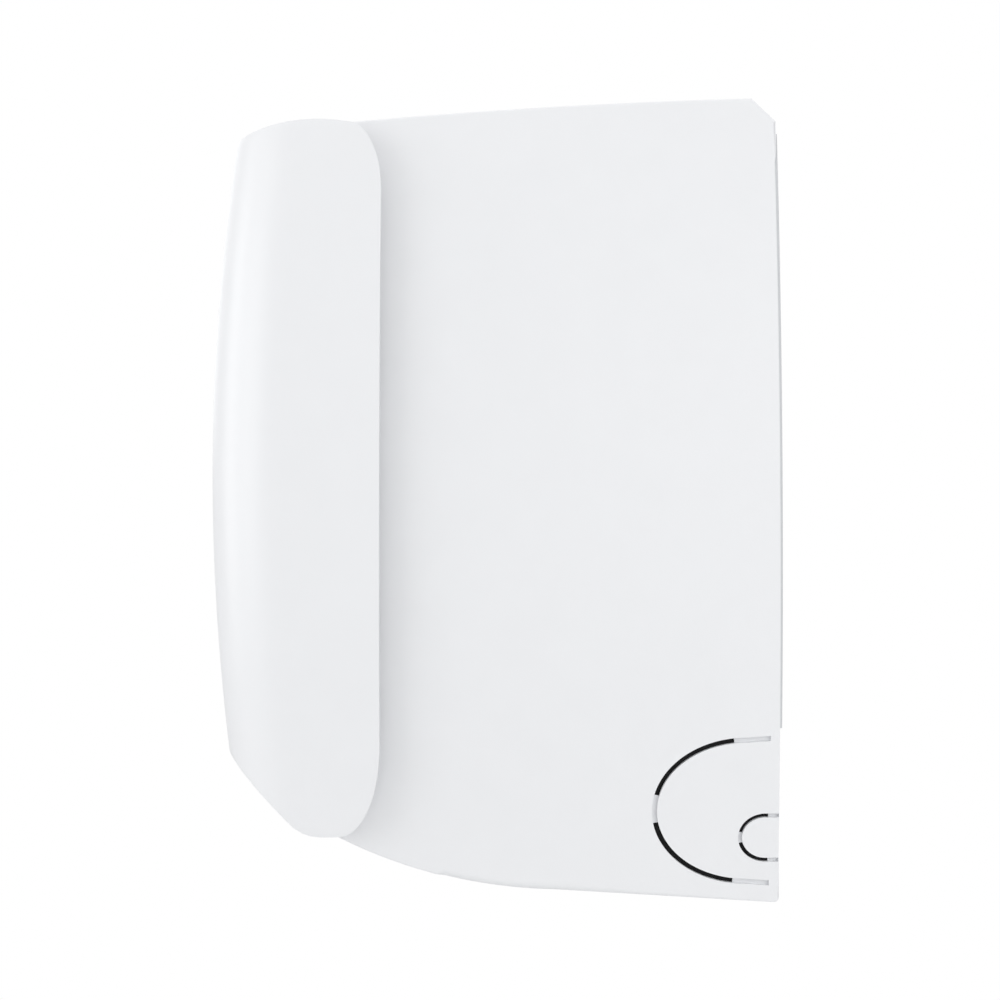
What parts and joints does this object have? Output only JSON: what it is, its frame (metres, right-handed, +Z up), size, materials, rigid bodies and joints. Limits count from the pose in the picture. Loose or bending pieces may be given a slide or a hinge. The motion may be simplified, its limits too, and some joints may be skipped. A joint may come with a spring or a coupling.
{
  "type": "split air conditioner indoor unit",
  "caption": "Wall-mounted indoor air conditioning unit: white casing with a bowed hinged front panel, outlet flap, cross-flow fan and swinging louvres.",
  "frame": {"origin": "middle of the rear face of the mounting plate, on the wall's surface", "axes": "+X to the right facing the unit, +Y into the wall, +Z up; the front faces -Y"},
  "size_m": [0.9, 0.215, 0.3047],
  "materials": {
    "panel_white": "satin, white",
    "casing_white": "satin, white",
    "louvre_white": "fine matt, light grey-white",
    "chassis_grey": "matt, light grey",
    "galvanised": "galvanised, spangled",
    "steel": "bright",
    "aluminium": "bare, faint blue coat",
    "copper": "bare copper",
    "brass": "bare brass",
    "foam": "matt closed-cell foam, white",
    "rubber": "matt black",
    "bumper_grey": "matt grey",
    "hose_grey": "matt, light grey",
    "motor_shell": "satin",
    "box_grey": "matt, dark grey",
    "board_green": "satin solder mask",
    "terminal_black": "matt black",
    "lens_smoke": "polished, smoky",
    "mesh_grey": "woven mesh in a ribbed frame",
    "carbon_grey": "matt, charcoal",
    "fan_grey": "matt, dark grey"
  },
  "bodies": {
    "unit": {"mounting_plate": "galvanised", "rear_chassis": "chassis_grey", "front_casing": "casing_white", "intake_grille": "casing_white", "casing_screws": "steel", "fins_front": "aluminium", "fins_upper": "aluminium", "fins_rear": "aluminium", "coil_tubes": "copper", "coil_end_plates": "galvanised", "gas_pipe": "copper", "liquid_pipe": "copper", "pipe_foam": "foam", "flare_nuts": "brass", "pipe_clamp": "chassis_grey", "drain_pan": "louvre_white", "drain_hose": "hose_grey", "drain_plug": "rubber", "fan_motor": "motor_shell", "motor_dampers": "rubber", "motor_clamp": "chassis_grey", "shaft_bearing": "steel", "bearing_seat": "rubber", "control_box": "box_grey", "control_box_cover": "box_grey", "main_board": "board_green", "terminal_block": "terminal_black", "display_board": "board_green", "display_lens": "lens_smoke", "air_sensor": "terminal_black", "pipe_sensor": "copper", "filter_left": "mesh_grey", "filter_right": "mesh_grey", "deodorising_filters": "carbon_grey", "flap_motor": "steel", "louvre_motors": "steel", "panel_bumpers": "bumper_grey"},
    "panel": {"front_panel": "panel_white", "panel_hinge_pins": "panel_white"},
    "flap": {"air_flap": "casing_white"},
    "fan": {"fan_wheel": "fan_grey", "fan_shaft": "steel"},
    "button": {"on_off_button": "casing_white"},
    "louvre_left_1": {"louvre_left_1": "louvre_white"},
    "louvre_left_2": {"louvre_left_2": "louvre_white"},
    "louvre_left_3": {"louvre_left_3": "louvre_white"},
    "louvre_left_4": {"louvre_left_4": "louvre_white"},
    "louvre_left_5": {"louvre_left_5": "louvre_white"},
    "louvre_link_left": {"louvre_link_left": "louvre_white"},
    "louvre_crank_left": {"louvre_crank_left": "louvre_white"},
    "louvre_right_1": {"louvre_right_1": "louvre_white"},
    "louvre_right_2": {"louvre_right_2": "louvre_white"},
    "louvre_right_3": {"louvre_right_3": "louvre_white"},
    "louvre_right_4": {"louvre_right_4": "louvre_white"},
    "louvre_right_5": {"louvre_right_5": "louvre_white"},
    "louvre_link_right": {"louvre_link_right": "louvre_white"},
    "louvre_crank_right": {"louvre_crank_right": "louvre_white"}
  },
  "joints": [
    {"name": "panel_hinge", "type": "hinge", "parent": "unit", "child": "panel", "pos_m": [0, -0.182, 0.108], "axis": [-1, 0, 0], "range_deg": [0, 65]},
    {"name": "flap_hinge", "type": "hinge", "parent": "unit", "child": "flap", "pos_m": [0, -0.128, -0.145], "axis": [1, 0, 0], "range_deg": [0, 75]},
    {"name": "fan_spin", "type": "hinge", "parent": "unit", "child": "fan", "pos_m": [0, -0.108, -0.025], "axis": [1, 0, 0], "continuous": true},
    {"name": "button_press", "type": "slide", "parent": "unit", "child": "button", "axis": [0, 0.7393, 0.6734], "range_m": [0, 0.001], "stiffness_N_per_m": 400},
    {"name": "louvre_left_1_swing", "type": "hinge", "parent": "unit", "child": "louvre_left_1", "pos_m": [-0.35815, -0.17397, -0.08737], "axis": [0, 0.6171, -0.7869], "range_deg": [-35, 35]},
    {"name": "louvre_left_2_swing", "type": "hinge", "parent": "unit", "child": "louvre_left_2", "pos_m": [-0.28845, -0.17397, -0.08737], "axis": [0, 0.6171, -0.7869], "range_deg": [-35, 35]},
    {"name": "left_louvres_swing", "type": "hinge", "parent": "unit", "child": "louvre_left_3", "pos_m": [-0.21875, -0.17397, -0.08737], "axis": [0, 0.6171, -0.7869], "range_deg": [-35, 35]},
    {"name": "louvre_left_4_swing", "type": "hinge", "parent": "unit", "child": "louvre_left_4", "pos_m": [-0.14905, -0.17397, -0.08737], "axis": [0, 0.6171, -0.7869], "range_deg": [-35, 35]},
    {"name": "louvre_left_5_swing", "type": "hinge", "parent": "unit", "child": "louvre_left_5", "pos_m": [-0.07935, -0.17397, -0.08737], "axis": [0, 0.6171, -0.7869], "range_deg": [-35, 35]},
    {"name": "left_link_shift", "type": "hinge", "parent": "louvre_left_3", "child": "louvre_link_left", "pos_m": [-0.21875, -0.15206, -0.08289], "axis": [0, 0.6171, -0.7869], "range_deg": [-35, 35]},
    {"name": "left_crank_swing", "type": "hinge", "parent": "unit", "child": "louvre_crank_left", "pos_m": [-0.415, -0.17397, -0.08737], "axis": [0, 0.6171, -0.7869], "range_deg": [-35, 35]},
    {"name": "louvre_right_1_swing", "type": "hinge", "parent": "unit", "child": "louvre_right_1", "pos_m": [-0.00965, -0.17397, -0.08737], "axis": [0, 0.6171, -0.7869], "range_deg": [-35, 35]},
    {"name": "louvre_right_2_swing", "type": "hinge", "parent": "unit", "child": "louvre_right_2", "pos_m": [0.06005, -0.17397, -0.08737], "axis": [0, 0.6171, -0.7869], "range_deg": [-35, 35]},
    {"name": "right_louvres_swing", "type": "hinge", "parent": "unit", "child": "louvre_right_3", "pos_m": [0.12975, -0.17397, -0.08737], "axis": [0, 0.6171, -0.7869], "range_deg": [-35, 35]},
    {"name": "louvre_right_4_swing", "type": "hinge", "parent": "unit", "child": "louvre_right_4", "pos_m": [0.19945, -0.17397, -0.08737], "axis": [0, 0.6171, -0.7869], "range_deg": [-35, 35]},
    {"name": "louvre_right_5_swing", "type": "hinge", "parent": "unit", "child": "louvre_right_5", "pos_m": [0.26915, -0.17397, -0.08737], "axis": [0, 0.6171, -0.7869], "range_deg": [-35, 35]},
    {"name": "right_link_shift", "type": "hinge", "parent": "louvre_right_3", "child": "louvre_link_right", "pos_m": [0.12975, -0.15206, -0.08289], "axis": [0, 0.6171, -0.7869], "range_deg": [-35, 35]},
    {"name": "right_crank_swing", "type": "hinge", "parent": "unit", "child": "louvre_crank_right", "pos_m": [0.324, -0.17397, -0.08737], "axis": [0, 0.6171, -0.7869], "range_deg": [-35, 35]}
  ],
  "couplings": [
    {"joint": "louvre_left_1_swing", "follows": "left_louvres_swing", "ratio": 1},
    {"joint": "louvre_left_2_swing", "follows": "left_louvres_swing", "ratio": 1},
    {"joint": "louvre_left_4_swing", "follows": "left_louvres_swing", "ratio": 1},
    {"joint": "louvre_left_5_swing", "follows": "left_louvres_swing", "ratio": 1},
    {"joint": "left_link_shift", "follows": "left_louvres_swing", "ratio": -1},
    {"joint": "left_crank_swing", "follows": "left_louvres_swing", "ratio": 1},
    {"joint": "louvre_right_1_swing", "follows": "right_louvres_swing", "ratio": 1},
    {"joint": "louvre_right_2_swing", "follows": "right_louvres_swing", "ratio": 1},
    {"joint": "louvre_right_4_swing", "follows": "right_louvres_swing", "ratio": 1},
    {"joint": "louvre_right_5_swing", "follows": "right_louvres_swing", "ratio": 1},
    {"joint": "right_link_shift", "follows": "right_louvres_swing", "ratio": -1},
    {"joint": "right_crank_swing", "follows": "right_louvres_swing", "ratio": 1}
  ]
}
